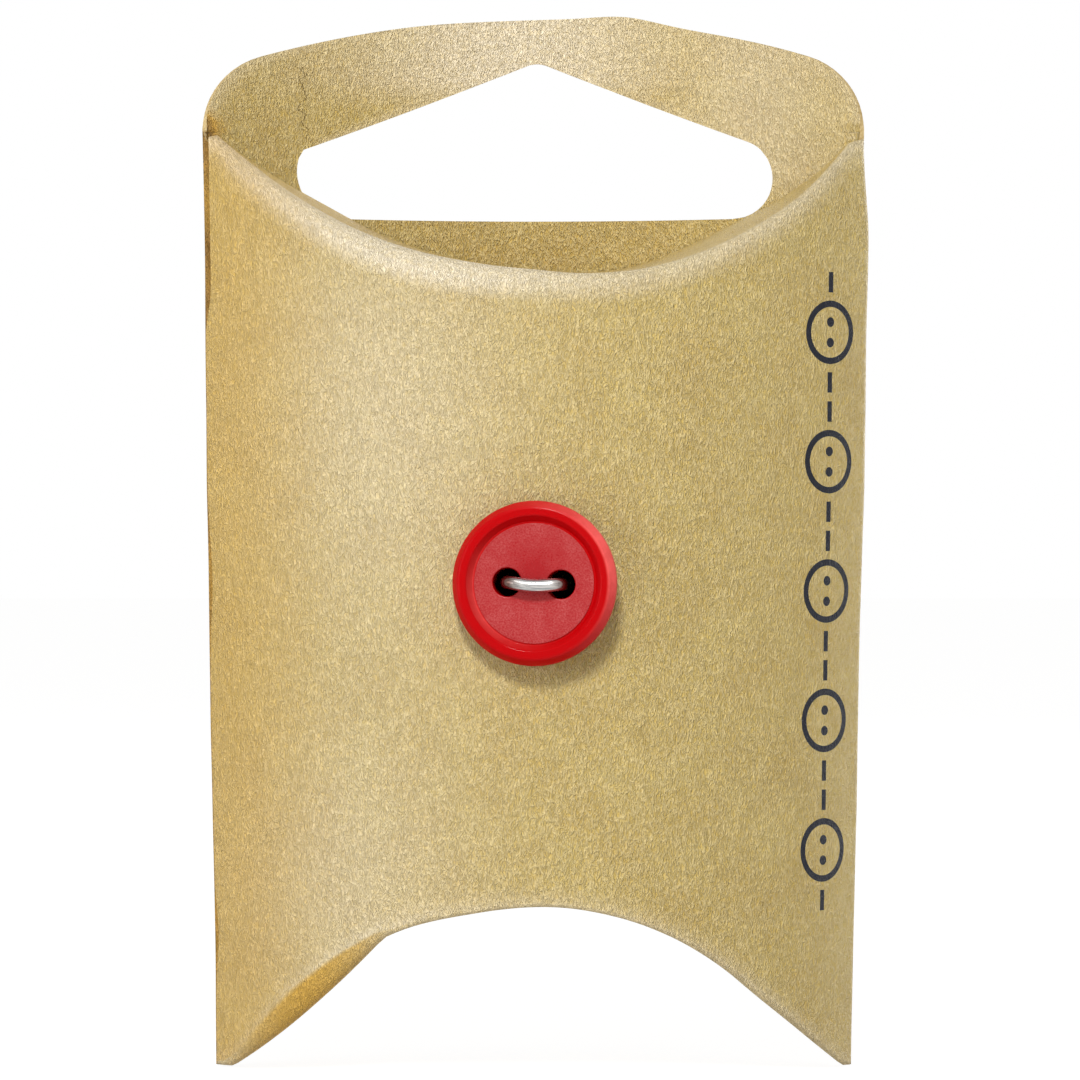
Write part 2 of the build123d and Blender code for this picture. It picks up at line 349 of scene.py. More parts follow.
def backPlace(share, row):
    # one point of the strip that runs from the inner bottom flap up the back
    flaps, rolls, walls = grain["flapRows"], grain["rollRows"], grain["wallRows"]

    def length(z):
        return share * reach(z, 0)

    low = arch(section(-corner, length(-corner))[0])
    xLow, depthLow, leanLow = section(low, length(low))
    low = arch(xLow) + backStep(xLow)
    high = splitHeight(section(corner, length(corner))[0])
    rollLow = min(pack["backRoll"], pack["rollShare"] * depthLow)
    wearAndSheen, spare, along = 0.0, math.inf, length(low)
    if row < flaps:  # inner bottom flap, short of the front's own crease
        v = 1 - row / flaps
        clear = rollPoint(archRoll(xLow), 1, facet(xLow))[0] + pack["flapGap"]
        end = -depthLow + pack["card"] / max(pack["leastCos"], math.cos(leanLow)) + clear
        spare = depthLow - rollLow - end
        place = (xLow, mix(depthLow - rollLow, end, v), low)
        height = low - rollLow - v * spare
    elif row < flaps + rolls:
        out, down = rollPoint(rollLow, 1 - (row - flaps) / rolls, 0)
        place = (xLow, depthLow - out, low + rollLow - down)
        height = low + rollLow - out - down
        wearAndSheen, spare = wearAndPaintedLight["backFoot"], depthLow
    else:
        z = mix(low + rollLow, high, (row - flaps - rolls) / walls)
        along = length(z)
        x, depth = section(z, along)[:2]
        place, height = (x, depth, z), z
        wearAndSheen = wearAndPaintedLight["backWall"] * ease(1 - (z - low - rollLow) / wearAndPaintedLight["footBand"])
    return Vector(place), Vector((along + pack["backApart"], height, 0)), wearAndSheen, spare


def lapPlace(step, row):
    # the back panel carried on round the left fold, inside the front panel
    first = grain["flapRows"] + grain["rollRows"]
    v = max(0, row - first) / grain["wallRows"]
    into = pack["lapWidth"] * (1 - step) ** 2
    margin = min(pack["lapMargin"], pack["lapTaper"] * into)
    ear = pack["earRise"] - pack["earTaper"] * into
    x = section(0, reach(0, 0) - into)[0]
    z = mix(arch(-x) + margin, corner + ear if ear > 0 else crest(-x) - margin, v)
    x, depth, lean = section(z, reach(z, 0) - into)
    inside = (pack["card"] + pack["lapGap"]) * min(1, into / pack["lapEasing"])
    place = (-x + inside * math.sin(lean), -depth + inside * math.cos(lean), z)
    return Vector(place), Vector((pack["backApart"] - reach(z, 0) - into, z, 0))


def seamShade(z):
    # painted shade: the raw edge on the left fold is brown, and browner in patches towards the top
    cloud = noise.noise(Vector((0, wearAndPaintedLight["seamPlace"], z / wearAndPaintedLight["seamPatch"])))
    patch = ease(0.5 + wearAndPaintedLight["seamContrast"] * cloud)
    return mix(wearAndPaintedLight["seamLeast"], 1, patch * ease((z - wearAndPaintedLight["seamFrom"]) / wearAndPaintedLight["seamSpan"]))


def addBack(bm, layers):
    lap, columns = grain["lapColumns"], grain["columns"]
    first = grain["flapRows"] + grain["rollRows"]
    edge = wearAndPaintedLight["seamShare"]
    spent = []
    for v, column, row in addGrid(bm, lap + columns, first + grain["wallRows"]):
        if column < lap:
            v.co, v[layers["flat"]] = lapPlace(column / lap, row)
            # painted shade along the left fold
            v[layers["paintedLightAndShade"]] = seamShade(v.co.z)
            if row < first:
                spent.append(v)
        else:
            share = columnPlace(2 * (column - lap) / columns - 1)
            v.co, v[layers["flat"]], v[layers["wearAndSheen"]], spare = backPlace(share, row)
            # painted shade along the left fold
            v[layers["paintedLightAndShade"]] = ease((-share - edge) / (1 - edge)) * seamShade(v.co.z)
            if spare < pack["leastFlap"]:
                spent.append(v)
    bmesh.ops.delete(bm, geom=spent, context="VERTS")


def inTab(x, z):
    x = abs(x)
    side, crown, shoulder = halfWidth(corner), pack["tabCrown"], pack["tabShoulder"]
    middle = tabTop - crown
    ledge = side - shoulder
    sill = middle + math.sqrt((crown - shoulder) ** 2 - ledge ** 2)
    if x > side or x ** 2 + (z - middle) ** 2 > crown ** 2:
        return False
    beyond = z > sill and x * (sill - middle) > (z - middle) * ledge
    return not (beyond and math.hypot(x - ledge, z - sill) > shoulder)


def inHole(x, z):
    # two end arcs, the left one pulled out of true, and a small arc at the top of two straight slopes
    low, side = holeTop - pack["holeHeight"], pack["holeWidth"] / 2
    size, apex = pack["holeEnd"], pack["holeApex"]
    endX, endZ = side - size, low + size
    apexZ = holeTop - apex
    span, fall = math.hypot(endX, apexZ - endZ), math.atan2(apexZ - endZ, endX)
    face = math.acos((apex - size) / span) - fall
    nx, nz = math.cos(face), math.sin(face)
    if x < 0:
        size = pack["holeEndLeft"]
        endX, endZ = side + pack["holeBulge"] - size, low + size
    x = abs(x)
    if z < low or nx * x + nz * (z - apexZ) > apex:
        return False
    beyond = x > endX and nx * (z - endZ) < nz * (x - endX)
    if beyond and math.hypot(x - endX, z - endZ) > size:
        return False
    return not (nx * (z - apexZ) > nz * x and math.hypot(x, z - apexZ) > apex)


def rayOut(inside, centre, angle):
    near, far = 0.0, grain["rayLength"]
    for step in range(grain["raySteps"]):
        middle = (near + far) / 2
        if inside(middle * math.cos(angle), centre + middle * math.sin(angle)):
            near = middle
        else:
            far = middle
    return near * math.cos(angle), centre + near * math.sin(angle)


def tabDepth(x, z):
    wide, deep, small, big, turn = arcs(z)
    plain = math.sqrt(big ** 2 - x ** 2) - big + deep
    folded = section(z, reach(z, max(0, wide - abs(x))))[1]
    return mix(folded, plain, ease((z - corner - pack["earRise"]) / pack["earEasing"]))


def tabFlat(x, z):
    big = arcs(z)[3]
    return Vector((big * math.asin(x / big) + pack["backApart"], z, 0))


def tabWearAndSheen(x, z, onEdge):
    # the tab's edge is rubbed pale; the patches are painted sheen
    wearAndSheenShares = [wearAndPaintedLight["tabEdge"] if onEdge and z > corner else 0.0]
    for strength, middle, spread, start, rise in wearAndPaintedLight["tabSheenPatches"]:
        wearAndSheenShares.append(strength * bump(x, middle, spread) * ease((z - start) / rise))
    return max(wearAndSheenShares)


def earShade(x, z):
    # painted shade: brown on the inner side of the fold at the tab's left ear
    reached = ease((-x - wearAndPaintedLight["earFrom"]) / wearAndPaintedLight["earSpan"])
    return reached * ease((corner + wearAndPaintedLight["earTop"] - z) / wearAndPaintedLight["earFade"]) * (z > wearAndPaintedLight["earLow"])


def tabOutline(centre):
    columns, steps = grain["columns"], grain["crownSteps"]
    top = grain["flapRows"] + grain["rollRows"] + grain["wallRows"]
    outline = [backPlace(columnPlace(2 * column / columns - 1), top)[0] for column in range(columns + 1)]
    right = math.atan2(outline[-1].z - centre, outline[-1].x)
    for step in range(1, steps):
        x, z = rayOut(inTab, centre, mix(right, math.pi - right, step / steps))
        z += bumps(x, pack["crownDents"])  # the crown isn't quite true
        outline.append(Vector((x, tabDepth(x, z), z)))
    return outline


def addTab(bm, layers):
    # rings from the tab's outline in to the edge of the hang hole
    rings = grain["rings"]
    centre = holeTop - grain["tabCentre"] * pack["holeHeight"]
    outline = tabOutline(centre)
    made = bmesh.ops.create_circle(bm, segments=len(outline), radius=1)["verts"]
    made.sort(key=lambda v: math.atan2(v.co.y, v.co.x) % (2 * math.pi))
    edges = list(dict.fromkeys(e for v in made for e in v.link_edges))
    index = {v: i for i, v in enumerate(made)}
    for ring in range(rings + 1):
        if ring:
            grown = bmesh.ops.extrude_edge_only(bm, edges=edges)["geom"]
            fresh = {g for g in grown if isinstance(g, bmesh.types.BMVert)}
            edges = [g for g in grown if isinstance(g, bmesh.types.BMEdge) and fresh.issuperset(g.verts)]
            links = [(v, e.other_vert(v)) for v in fresh for e in v.link_edges]
            index = {v: index[other] for v, other in links if other in index}
        for v, i in index.items():
            x, depth, z = outline[i]
            if ring:
                holeX, holeZ = rayOut(inHole, centre, math.atan2(z - centre, x))
                x, z = mix(x, holeX, ring / rings), mix(z, holeZ, ring / rings)
                depth = tabDepth(x, z)
            v.co, v[layers["flat"]] = Vector((x, depth, z)), tabFlat(x, z)
            v[layers["wearAndSheen"]] = tabWearAndSheen(x, z, ring in (0, rings))
            v[layers["paintedLightAndShade"]] = earShade(x, z)


button = {
    "radius": 7.5, "crestHeight": 2.9, "edgeLow": 1.1, "edgeHigh": 2.0, "backRadius": 4.2,
    "shoulder": 0.6, "crest": 0.75, "slope": 0.5, "floor": 2.25, "groove": 0.2, "grooveDepth": 0.12,
    "grooveRound": 0.04, "innerRound": 0.25, "outerRound": 0.45, "edgeRound": 0.8, "backRound": 0.4,
    "holeRadius": 1.3, "holeOffset": 2.46, "lip": 0.16,
    "height": 1.75, "touch": 5.0, "turn": 2.4, "gap": 0.08,
    "pierced": 1.72, "cleared": 1.75, "clearedRim": 3.0, "cardBehind": 0.5,  # the wire's holes in the card
    "steps": 144, "holeSteps": 48, "roundSteps": 8, "lipSteps": 6,
    "dullPatch": 1.6, "speckle": 0.16, "scuff": 0.5, "scuffUp": 1.15,
    # painted reflection: direction and spread in degrees on the outer edge, and on the slope with its share
    "outerHaze": (28, 48), "slopeHaze": (205, 50), "slopeShare": 0.5,
    "hazeIn": 0.25, "hazeEasing": 0.3, "hazeLow": 1.2, "hazeRise": 0.4, "slopeTop": 0.15, "slopeFoot": 0.1,
    "merge": 0.002, "flatNormal": 0.99999, "floorBand": 0.05,
}


def buttonSeat():
    # the button sits turned a little to the left of the bowed front, its local Z out of the face
    deep, big = arcs(button["height"])[1], arcs(button["height"])[3]
    lean = math.atan(button["touch"] / (big + button["gap"]))
    tilt = (pack["bowBottom"] - pack["bowTop"]) / pack["height"]
    across = Vector((math.cos(lean), -math.sin(lean), 0))
    out = Vector((-math.sin(lean), -math.cos(lean), tilt)).normalized()
    up = out.cross(across)
    origin = Vector((0, big - deep - (big + button["gap"]) / math.cos(lean), button["height"]))
    seat = Matrix((across, up, out)).transposed().to_4x4()
    return Matrix.Translation(origin) @ seat @ Matrix.Rotation(-math.radians(button["turn"]), 4, "Z")


def pierce(bm, layers):
    # two holes in the front for the wire
    for side in (-1, 1):
        centre = buttonSeat() @ Vector((side * button["holeOffset"], 0, -button["cardBehind"]))

        def away(place):
            return math.hypot(place.x - centre.x, place.z - centre.z) if place.y < 0 else math.inf

        gone = [f for f in bm.faces if away(f.calc_center_median()) < button["cleared"]]
        bmesh.ops.delete(bm, geom=gone, context="FACES")
        rim = {v for e in bm.edges if e.is_boundary for v in e.verts if away(v.co) < button["clearedRim"]}
        for v in rim:
            turn = math.atan2(v.co.z - centre.z, v.co.x - centre.x)
            x = centre.x + button["pierced"] * math.cos(turn)
            z = centre.z + button["pierced"] * math.sin(turn)
            along = math.copysign(reach(z, halfWidth(z) - abs(x)), x)
            v.co, v[layers["flat"]] = Vector((x, -section(z, along)[1], z)), Vector((along, z, 0))


def faceOut(bm):
    bmesh.ops.recalc_face_normals(bm, faces=bm.faces)
    height = corner / 2
    front = Vector((0, -bow(height), height))  # on the front, clear of the button
    middle = min(bm.faces, key=lambda f: (f.calc_center_median() - front).length)
    if middle.normal.y > 0:
        bmesh.ops.reverse_faces(bm, faces=bm.faces)


waves = {
    # height, length across and up, and place in the noise of each wave; none of them under the button
    "rows": ((0.14, 17, 21, 3), (0.04, 5, 7, 9)), "calm": 11.0,
}


def waver(bm):
    # hand-filled card is never quite true, and this one leans a little
    bm.normal_update()
    for v in bm.verts:
        here = v.co
        calm = bump(math.hypot(here.x, here.z - button["height"]), 0, waves["calm"])
        sway = 0.0
        for high, wide, tall, place in waves["rows"]:
            sway += high * noise.noise(Vector((here.x / wide, here.y / wide + place, here.z / tall)))
        v.co = here + v.normal * sway * (1 - calm)
        lean = (here.z - corner) / pack["height"] * ease((abs(here.x) - pack["skewFrom"]) / pack["skewSpan"])
        v.co.x += pack["skew"] * lean
        drawn = ease((here.z - pack["pinchZ"]) / pack["pinchSpan"])
        v.co.x -= pack["pinch"] * drawn * ease((here.x - pack["pinchX"]) / pack["pinchSpan"])


def toFrame():
    # the hang hole's top edge, in the middle of the card, is the origin
    return Matrix.Scale(mm, 4) @ Matrix.Translation((0, pack["card"] / 2 - bow(holeTop), -holeTop))


def finishMesh(bm, name, materials, place):
    bmesh.ops.transform(bm, matrix=place, verts=bm.verts)
    mesh = bpy.data.meshes.new(name)
    bm.to_mesh(mesh)
    bm.free()
    piece = bpy.data.objects.new(name, mesh)
    scene.collection.objects.link(piece)
    for material in materials:
        mesh.materials.append(material)
    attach(piece, "root")
    return piece


def srgb(code):
    parts = [int(code[i:i + 2], 16) / 255 for i in (1, 3, 5)]
    return [p / 12.92 if p <= 0.04045 else ((p + 0.055) / 1.055) ** 2.4 for p in parts] + [1.0]


def addNode(tree, kind, inputs, output=0, **settings):
    # each input is set, or linked where it is another node's output
    node = tree.nodes.new(kind)
    for name, value in settings.items():
        setattr(node, name, value)
    for name, value in inputs.items():
        if isinstance(value, bpy.types.NodeSocket):
            tree.links.new(value, node.inputs[name])
        else:
            node.inputs[name].default_value = value
    return node.outputs[output] if node.outputs else node


noiseNode, mathNode, vectorNode = "ShaderNodeTexNoise", "ShaderNodeMath", "ShaderNodeVectorMath"
rangeNode, mixNode, attributeNode = "ShaderNodeMapRange", "ShaderNodeMix", "ShaderNodeAttribute"


def newMaterial(name):
    material = bpy.data.materials.new(name)
    material.use_nodes = True
    tree = material.node_tree
    return material, tree, tree.nodes["Principled BSDF"]


fibres = {
    # each set of fibres: width and length of its meanders in millimetres, slant in degrees
    "sets": ((0.27, 0.55, 8), (0.22, 1.4, -3), (0.23, 1.1, 16), (0.25, 0.8, -24)),
    "ridge": 0.1, "relief": 0.064, "cloud": 6.0, "speck": 0.8, "rubAndSheen": 0.45, "cut": 0.25, "apart": 7.0,
}


def fibreRelief(tree, flat):
    # fibres are ridges that wander along the middle level of a noise field
    height = None
    for number, (wide, long, slant) in enumerate(fibres["sets"]):
        lie = addNode(tree, "ShaderNodeMapping", {
            "Vector": flat, "Location": (0, 0, fibres["apart"] * number),
            "Rotation": (0, 0, math.radians(slant)), "Scale": (wide, long, 1)}, vector_type="TEXTURE")
        field = addNode(tree, noiseNode, {"Vector": lie, "Scale": 1, "Detail": 0.6, "Distortion": 0.25})
        off = addNode(tree, mathNode, {0: field, 1: 0.5}, operation="SUBTRACT")
        off = addNode(tree, mathNode, {0: off}, operation="ABSOLUTE")
        ridge = addNode(tree, rangeNode, {
            "Value": off, "From Max": fibres["ridge"], "To Min": 1, "To Max": 0,
        }, interpolation_type="SMOOTHSTEP")
        height = ridge if height is None else addNode(tree, mathNode, {0: height, 1: ridge}, operation="ADD")
    return height


motif = {
    # a plain printed border: rings with two dots, joined by running stitches
    "centre": 29.6, "pitch": 12.0, "ring": 2.65, "line": 0.3, "dot": 0.45, "dotOffset": 0.95,
    "stitch": (3.7, 5.6), "stitchWidth": 0.28, "low": -29.0, "high": 31.0,
}


def printMask(tree, flat):
    middle, half = (motif["low"] + motif["high"]) / 2, (motif["high"] - motif["low"]) / 2
    first, last = motif["stitch"]
    split = addNode(tree, "ShaderNodeSeparateXYZ", {"Vector": flat}, "X").node.outputs
    u = addNode(tree, mathNode, {0: split["X"], 1: motif["centre"]}, operation="SUBTRACT")
    height = addNode(tree, mathNode, {0: split["Y"], 1: middle}, operation="SUBTRACT")
    v = addNode(tree, mathNode, {0: height, 1: motif["pitch"] / 2, 2: -motif["pitch"] / 2}, operation="WRAP")
    v = addNode(tree, mathNode, {0: v}, operation="ABSOLUTE")
    place = addNode(tree, "ShaderNodeCombineXYZ", {"X": u, "Y": v})
    away = addNode(tree, vectorNode, {0: place}, "Value", operation="LENGTH")
    ring = addNode(tree, mathNode, {0: away, 1: motif["ring"], 2: motif["line"]}, operation="COMPARE")
    away = addNode(tree, vectorNode, {0: place, 1: (0, motif["dotOffset"], 0)}, "Value", operation="DISTANCE")
    dots = addNode(tree, mathNode, {0: away, 1: motif["dot"]}, operation="LESS_THAN")
    run = addNode(tree, mathNode, {0: v, 1: (first + last) / 2, 2: (last - first) / 2}, operation="COMPARE")
    thin = addNode(tree, mathNode, {0: u, 1: 0, 2: motif["stitchWidth"]}, operation="COMPARE")
    stitch = addNode(tree, mathNode, {0: run, 1: thin}, operation="MULTIPLY")
    marks = addNode(tree, mathNode, {0: ring, 1: dots}, operation="MAXIMUM")
    marks = addNode(tree, mathNode, {0: marks, 1: stitch}, operation="MAXIMUM")
    window = addNode(tree, mathNode, {0: height, 1: 0, 2: half}, operation="COMPARE")
    return addNode(tree, mathNode, {0: marks, 1: window}, operation="MULTIPLY")


creaseShade = {"place": 76.6, "low": 44.6, "high": 50.5, "wander": 1.3, "step": 1.1, "width": 0.07}


def creaseShadeMask(tree, flat):
    # painted shade: a fine jagged dark line in the crease where the tab was bent, left of the hang hole
    middle, half = (creaseShade["low"] + creaseShade["high"]) / 2, (creaseShade["high"] - creaseShade["low"]) / 2
    split = addNode(tree, "ShaderNodeSeparateXYZ", {"Vector": flat}, "X").node.outputs
    jag = addNode(tree, noiseNode, {
        "W": split["Y"], "Scale": 1 / creaseShade["step"], "Detail": 3}, noise_dimensions="1D")
    jag = addNode(tree, rangeNode, {"Value": jag, "To Min": -creaseShade["wander"], "To Max": creaseShade["wander"]})
    across = addNode(tree, mathNode, {0: split["X"], 1: jag}, operation="ADD")
    line = addNode(tree, mathNode, {0: across, 1: creaseShade["place"], 2: creaseShade["width"]}, operation="COMPARE")
    length = addNode(tree, mathNode, {0: split["Y"], 1: middle, 2: half}, operation="COMPARE")
    return addNode(tree, mathNode, {0: line, 1: length}, operation="MULTIPLY")


def kraftCard():
    # unbleached kraft board: cream fibres matted in relief on tan, paler where it was rubbed and with painted
    # highlight and sheen on the crest, the front's left and the tab, painted warm light golden in the
    # squashed corner and painted shade brown along the raw edge
    material, tree, skin = newMaterial("kraftCard")
    flat = addNode(tree, attributeNode, {}, "Vector", attribute_name="flat")
    wearAndSheen = addNode(tree, attributeNode, {}, "Fac", attribute_name="wearAndSheen")
    paintedLightAndShade = addNode(tree, attributeNode, {}, "Fac", attribute_name="paintedLightAndShade")
    fibre = fibreRelief(tree, flat)
    cloud = addNode(tree, noiseNode, {
        "Vector": flat, "Scale": 1 / fibres["cloud"], "Detail": 4, "Roughness": 0.6})
    cloud = addNode(tree, rangeNode, {"Value": cloud, "From Min": 0.3, "From Max": 0.7})
    pale = addNode(tree, rangeNode, {"Value": fibre, "From Max": 2, "To Max": 0.42})
    speck = addNode(tree, noiseNode, {
        "Vector": flat, "Scale": 1 / fibres["speck"], "Detail": 3, "Roughness": 0.75})
    speck = addNode(tree, rangeNode, {"Value": speck, "From Min": 0.71, "From Max": 0.75, "To Max": 0.6})
    ink = addNode(tree, mathNode, {0: printMask(tree, flat), 1: 0.98}, operation="MULTIPLY")
    # paler where rubbed, with painted highlight and sheen where the mask says so
    rubAndSheen = addNode(tree, noiseNode, {
        "Vector": flat, "Scale": 1 / fibres["rubAndSheen"], "Detail": 3, "Roughness": 0.7})
    rubAndSheen = addNode(tree, rangeNode, {"Value": rubAndSheen, "From Min": 0.36, "From Max": 0.6, "To Min": 0.58})
    rubAndSheen = addNode(tree, mathNode, {0: rubAndSheen, 1: wearAndSheen}, operation="MULTIPLY")
    # painted light and shade: golden up to half strength, dark brown above it
    deep = addNode(tree, rangeNode, {"Value": paintedLightAndShade, "From Min": 0.5})
    paintedTone = addNode(tree, mixNode, {
        "Factor": deep, "A": srgb("#E3B24C"), "B": srgb("#8A5E1C")}, "Result", data_type="RGBA")
    paintedLightAndShade = addNode(tree, rangeNode, {"Value": paintedLightAndShade, "From Max": 0.5, "To Max": 0.85})
    # painted shade of the crease on the tab
    split = addNode(tree, mathNode, {0: creaseShadeMask(tree, flat), 1: 0.75}, operation="MULTIPLY")
    colour = srgb("#CAAB5B")
    layers = (
        (cloud, srgb("#D8BD6E")), (pale, srgb("#F0E0B2")), (speck, srgb("#7E6330")), (ink, srgb("#04142C")),
        (rubAndSheen, srgb("#FFF0D2")), (paintedLightAndShade, paintedTone), (split, srgb("#6B5426")))
    for amount, tint in layers:
        colour = addNode(tree, mixNode, {
            "Factor": amount, "A": colour, "B": tint}, "Result", data_type="RGBA")
    tree.links.new(colour, skin.inputs["Base Color"])
    relief = addNode(tree, "ShaderNodeBump", {
        "Strength": 1, "Distance": fibres["relief"] * mm, "Height": fibre})
    tree.links.new(relief, skin.inputs["Normal"])
    skin.inputs["Roughness"].default_value = 0.5
    skin.inputs["Specular IOR Level"].default_value = 0.22
    return material


def cutCard():
    # the same board cut through: matt and fibrous
    material, tree, skin = newMaterial("cutCard")
    place = addNode(tree, "ShaderNodeTexCoord", {}, "Object")
    fine = addNode(tree, noiseNode, {"Vector": place, "Scale": 1 / (fibres["cut"] * mm), "Detail": 3})
    fine = addNode(tree, rangeNode, {"Value": fine, "From Min": 0.3, "From Max": 0.7})
    colour = addNode(tree, mixNode, {
        "Factor": fine, "A": srgb("#B2955A"), "B": srgb("#D6C090")}, "Result", data_type="RGBA")
    tree.links.new(colour, skin.inputs["Base Color"])
    skin.inputs["Roughness"].default_value = 0.85
    return material


def makePack():
    bm = bmesh.new()
    layers = {"flat": bm.verts.layers.float_vector.new("flat")}
    layers["wearAndSheen"] = bm.verts.layers.float.new("wearAndSheen")
    layers["paintedLightAndShade"] = bm.verts.layers.float.new("paintedLightAndShade")
    addFront(bm, layers)
    addBack(bm, layers)
    addTab(bm, layers)
    bmesh.ops.remove_doubles(bm, verts=bm.verts, dist=grain["merge"])
    pierce(bm, layers)
    faceOut(bm)
    waver(bm)
    for face in bm.faces:
        face.smooth = True
    for edge in bm.edges:
        edge.smooth = not edge.is_boundary
    piece = finishMesh(bm, "pillowCarton", [kraftCard(), cutCard()], toFrame())
    wall = piece.modifiers.new("cardThickness", "SOLIDIFY")
    wall.thickness, wall.offset, wall.material_offset_rim = pack["card"] * mm, -1, 1
    wall.use_even_offset = False
    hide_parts("pillow_carton")
    print("pack folded", len(piece.data.polygons), "faces")


def rounded(corners):
    # a profile with each corner, given as radius, height and rounding, turned into a short arc
    steps = button["roundSteps"]
    points = []
    for i, (r, z, size) in enumerate(corners):
        here = Vector((r, z))
        if size == 0 or i in (0, len(corners) - 1):
            points.append(here)
            continue
        before = (Vector(corners[i - 1][:2]) - here).normalized()
        after = (Vector(corners[i + 1][:2]) - here).normalized()
        half = before.angle(after) / 2
        centre = here + (before + after).normalized() * size / math.sin(half)
        start = here + before * size / math.tan(half) - centre
        end = here + after * size / math.tan(half) - centre
        for step in range(steps + 1):
            points.append(centre + start.lerp(end, step / steps).normalized() * size)
    return points


def ringEdges(bm, radius, height, x=0.0):
    near = 1e-4

    def on(v):
        return abs(v.co.z - height) < near and abs(math.hypot(v.co.x - x, v.co.y) - radius) < near

    return [e for e in bm.edges if on(e.verts[0]) and on(e.verts[1])]


def polishedRed():
    # moulded polyester, polished: a deep clear red, with a painted pink reflection, rougher there too, on the
    # outer edge's right side and the slope's lower left
    material, tree, skin = newMaterial("polishedRed")
    face = addNode(tree, attributeNode, {}, "Vector", attribute_name="face")
    paintedReflection = addNode(tree, attributeNode, {}, "Fac", attribute_name="paintedReflection")
    dull = addNode(tree, noiseNode, {
        "Vector": face, "Scale": 1 / button["dullPatch"], "Detail": 5, "Roughness": 0.65})
    dull = addNode(tree, rangeNode, {"Value": dull, "From Min": 0.3, "From Max": 0.7, "To Min": 0.6})
    paintedReflection = addNode(tree, mathNode, {0: paintedReflection, 1: dull}, operation="MULTIPLY")
    colour = addNode(tree, mixNode, {
        "Factor": paintedReflection, "A": srgb("#B80308"), "B": srgb("#FF6A66")}, "Result", data_type="RGBA")
    tree.links.new(colour, skin.inputs["Base Color"])
    gloss = addNode(tree, rangeNode, {"Value": paintedReflection, "To Min": 0.16, "To Max": 0.4})
    tree.links.new(gloss, skin.inputs["Roughness"])
    skin.inputs["Specular IOR Level"].default_value = 0.06
    return material


def satinRed():
    # the recess as it came from the mould: satin, with a fine pale bloom, partly painted reflection of the
    # pale surroundings, that is rubbed off round the wire
    material, tree, skin = newMaterial("satinRed")
    face = addNode(tree, attributeNode, {}, "Vector", attribute_name="face")
    patch = addNode(tree, noiseNode, {
        "Vector": face, "Scale": 1 / button["dullPatch"], "Detail": 4, "Roughness": 0.6})
    patch = addNode(tree, rangeNode, {"Value": patch, "From Min": 0.3, "From Max": 0.7, "To Min": 0.4})
    speckle = addNode(tree, noiseNode, {
        "Vector": face, "Scale": 1 / button["speckle"], "Detail": 2, "Roughness": 0.6})
    bloomAndReflection = addNode(tree, rangeNode, {
        "Value": speckle, "From Min": 0.35, "From Max": 0.7, "To Min": 0.1, "To Max": 0.55})
    bloomAndReflection = addNode(tree, mathNode, {0: bloomAndReflection, 1: patch}, operation="MULTIPLY")
    middle = (0, button["scuffUp"], button["floor"])
    away = addNode(tree, vectorNode, {0: face, 1: middle}, "Value", operation="DISTANCE")
    scuffed = addNode(tree, noiseNode, {
        "Vector": face, "Scale": 1 / button["scuff"], "Detail": 2, "Distortion": 2})
    away = addNode(tree, mathNode, {0: away, 1: scuffed}, operation="ADD")
    kept = addNode(tree, rangeNode, {
        "Value": away, "From Min": 1.2, "From Max": 4.2, "To Min": 0.2, "To Max": 1.3})
    bloomAndReflection = addNode(tree, mathNode, {0: bloomAndReflection, 1: kept}, operation="MULTIPLY")
    colour = addNode(tree, mixNode, {
        "Factor": bloomAndReflection, "A": srgb("#A40A12"), "B": srgb("#C46260")}, "Result", data_type="RGBA")
    tree.links.new(colour, skin.inputs["Base Color"])
    gloss = addNode(tree, rangeNode, {"Value": bloomAndReflection, "To Min": 0.25, "To Max": 0.65})
    tree.links.new(gloss, skin.inputs["Roughness"])
    skin.inputs["Specular IOR Level"].default_value = 0.25
    relief = addNode(tree, "ShaderNodeBump", {"Strength": 1, "Distance": 0.008 * mm, "Height": speckle})
    tree.links.new(relief, skin.inputs["Normal"])
    return material


def addButtonHole(bm, x):
    # a tube with rounded lips, from the floor to the back
    lip, hole, steps = button["lip"], button["holeRadius"], button["lipSteps"]
    turns = [i * math.pi / (2 * steps) for i in range(steps + 1)]
    arc = [(hole + lip * (1 - math.sin(turn)), lip * (1 - math.cos(turn))) for turn in turns]
    tube = [(radius, button["floor"] - drop) for radius, drop in arc] + list(reversed(arc))
    made = bmesh.ops.create_circle(bm, segments=button["holeSteps"], radius=1)["verts"]
    edges = list(dict.fromkeys(e for v in made for e in v.link_edges))
    for step, (radius, height) in enumerate(tube):
        if step:
            grown = bmesh.ops.extrude_edge_only(bm, edges=edges)["geom"]
            made = [g for g in grown if isinstance(g, bmesh.types.BMVert)]
            fresh = set(made)
            edges = [g for g in grown if isinstance(g, bmesh.types.BMEdge) and fresh.issuperset(g.verts)]
        for v in made:
            flat = Vector((v.co.x - (x if step else 0), v.co.y)).normalized() * radius
            v.co = (flat.x + x, flat.y, height)


